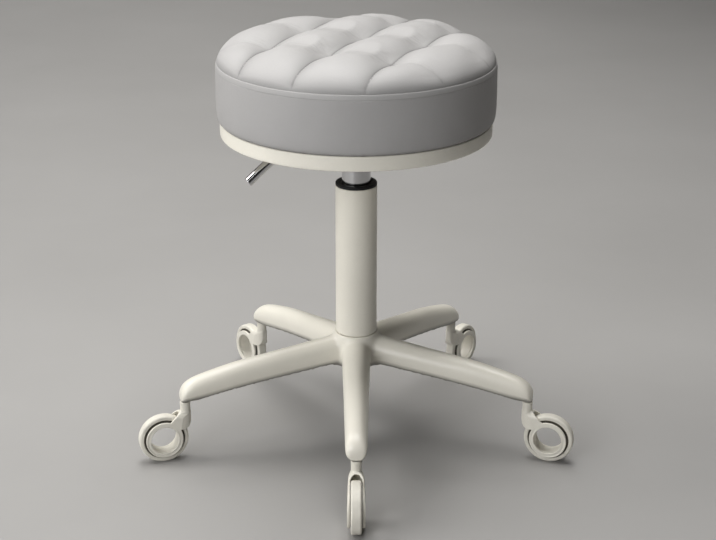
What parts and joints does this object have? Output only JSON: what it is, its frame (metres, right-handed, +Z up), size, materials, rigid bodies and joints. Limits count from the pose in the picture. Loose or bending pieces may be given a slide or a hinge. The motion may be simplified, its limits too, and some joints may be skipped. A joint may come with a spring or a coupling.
{
  "type": "rolling stool",
  "caption": "Round quilted seat on a gas-spring column with a lift lever, standing on a star base with ring-shaped swivel casters.",
  "frame": {"origin": "middle of the stool's footprint box on the floor, under the wheels; the column axis stands 24.5 mm behind it, at y = +0.0245, because one leg points straight forward and the two rear legs reach less far back", "axes": "+Z up along the column; -Y is the front, along the single forward leg; +X is to the right of someone facing +Y, and is the widest direction across the casters"},
  "size_m": [0.5264, 0.5006, 0.5105],
  "materials": {
    "cream_nylon": "satin",
    "cream_paint": "satin",
    "cream_plastic": "satin",
    "tyre_pu": "satin",
    "dark_plastic": "matte",
    "black_nylon": "satin",
    "natural_nylon": "satin",
    "steel": "satin",
    "black_steel": "satin",
    "brass": "satin",
    "chrome": "polished",
    "rubber": "matte",
    "plywood": "matte",
    "foam": "matte",
    "leather": "satin"
  },
  "bodies": {
    "base": {"star_base": "cream_nylon", "column_tube": "cream_paint", "guide_bush": "black_nylon", "lower_race": "steel", "ball_ring": "brass", "stem_socket_1": "natural_nylon", "stem_socket_2": "natural_nylon", "stem_socket_3": "natural_nylon", "stem_socket_4": "natural_nylon", "stem_socket_5": "natural_nylon"},
    "spindle": {"piston_rod": "steel", "piston": "dark_plastic", "bumper": "rubber", "upper_race": "steel", "retaining_clip": "steel"},
    "seat": {"gas_cylinder": "chrome", "seat_mount": "black_steel", "lever_pin": "steel", "seat_pan": "cream_plastic", "seat_board": "plywood", "seat_foam": "foam", "top_cover": "leather", "side_band": "leather", "piping": "leather", "mount_bolt_1": "steel", "mount_bolt_2": "steel", "mount_bolt_3": "steel", "mount_bolt_4": "steel", "threaded_insert_1": "brass", "threaded_insert_2": "brass", "threaded_insert_3": "brass", "threaded_insert_4": "brass"},
    "lever": {"lever": "chrome"},
    "valve_pin": {"valve_pin": "steel"},
    "caster_1": {"caster_fork_1": "cream_plastic", "caster_stem_1": "steel", "hub_sleeve_1": "cream_plastic"},
    "wheel_1": {"tyre_1": "tyre_pu", "wheel_core_1": "dark_plastic"},
    "caster_2": {"caster_fork_2": "cream_plastic", "caster_stem_2": "steel", "hub_sleeve_2": "cream_plastic"},
    "wheel_2": {"tyre_2": "tyre_pu", "wheel_core_2": "dark_plastic"},
    "caster_3": {"caster_fork_3": "cream_plastic", "caster_stem_3": "steel", "hub_sleeve_3": "cream_plastic"},
    "wheel_3": {"tyre_3": "tyre_pu", "wheel_core_3": "dark_plastic"},
    "caster_4": {"caster_fork_4": "cream_plastic", "caster_stem_4": "steel", "hub_sleeve_4": "cream_plastic"},
    "wheel_4": {"tyre_4": "tyre_pu", "wheel_core_4": "dark_plastic"},
    "caster_5": {"caster_fork_5": "cream_plastic", "caster_stem_5": "steel", "hub_sleeve_5": "cream_plastic"},
    "wheel_5": {"tyre_5": "tyre_pu", "wheel_core_5": "dark_plastic"}
  },
  "joints": [
    {"name": "seat_swivel", "type": "hinge", "parent": "base", "child": "spindle", "pos_m": [0, 0.0245, 0.11], "axis": [0, 0, 1], "continuous": true},
    {"name": "seat_lift", "type": "slide", "parent": "spindle", "child": "seat", "axis": [0, 0, 1], "range_m": [-0.01, 0.11]},
    {"name": "lever_lift", "type": "hinge", "parent": "seat", "child": "lever", "pos_m": [-0.02631, 0.01492, 0.383], "axis": [-0.342, 0.9397, 0], "range_deg": [0, 7], "stiffness_Nm_per_rad": 8, "springref_deg": -5.73},
    {"name": "valve_press", "type": "slide", "parent": "seat", "child": "valve_pin", "axis": [0, 0, -1], "range_m": [0, 0.0036]},
    {"name": "caster_swivel_1", "type": "hinge", "parent": "base", "child": "caster_1", "pos_m": [0, -0.1928, 0.08], "axis": [0, 0, 1], "continuous": true},
    {"name": "wheel_spin_1", "type": "hinge", "parent": "caster_1", "child": "wheel_1", "pos_m": [0, -0.2208, 0.03], "axis": [1, 0, 0], "continuous": true},
    {"name": "caster_swivel_2", "type": "hinge", "parent": "base", "child": "caster_2", "pos_m": [0.20666, -0.04265, 0.08], "axis": [0, 0, 1], "continuous": true},
    {"name": "wheel_spin_2", "type": "hinge", "parent": "caster_2", "child": "wheel_2", "pos_m": [0.23329, -0.0513, 0.03], "axis": [0.309, 0.9511, 0], "continuous": true},
    {"name": "caster_swivel_3", "type": "hinge", "parent": "base", "child": "caster_3", "pos_m": [0.12773, 0.2003, 0.08], "axis": [0, 0, 1], "continuous": true},
    {"name": "wheel_spin_3", "type": "hinge", "parent": "caster_3", "child": "wheel_3", "pos_m": [0.14418, 0.22295, 0.03], "axis": [-0.809, 0.5878, 0], "continuous": true},
    {"name": "caster_swivel_4", "type": "hinge", "parent": "base", "child": "caster_4", "pos_m": [-0.12773, 0.2003, 0.08], "axis": [0, 0, 1], "continuous": true},
    {"name": "wheel_spin_4", "type": "hinge", "parent": "caster_4", "child": "wheel_4", "pos_m": [-0.14418, 0.22295, 0.03], "axis": [-0.809, -0.5878, 0], "continuous": true},
    {"name": "caster_swivel_5", "type": "hinge", "parent": "base", "child": "caster_5", "pos_m": [-0.20666, -0.04265, 0.08], "axis": [0, 0, 1], "continuous": true},
    {"name": "wheel_spin_5", "type": "hinge", "parent": "caster_5", "child": "wheel_5", "pos_m": [-0.23329, -0.0513, 0.03], "axis": [0.309, -0.9511, 0], "continuous": true}
  ],
  "couplings": [
    {"joint": "valve_press", "follows": "lever_lift", "m_per_rad": 0.028}
  ]
}
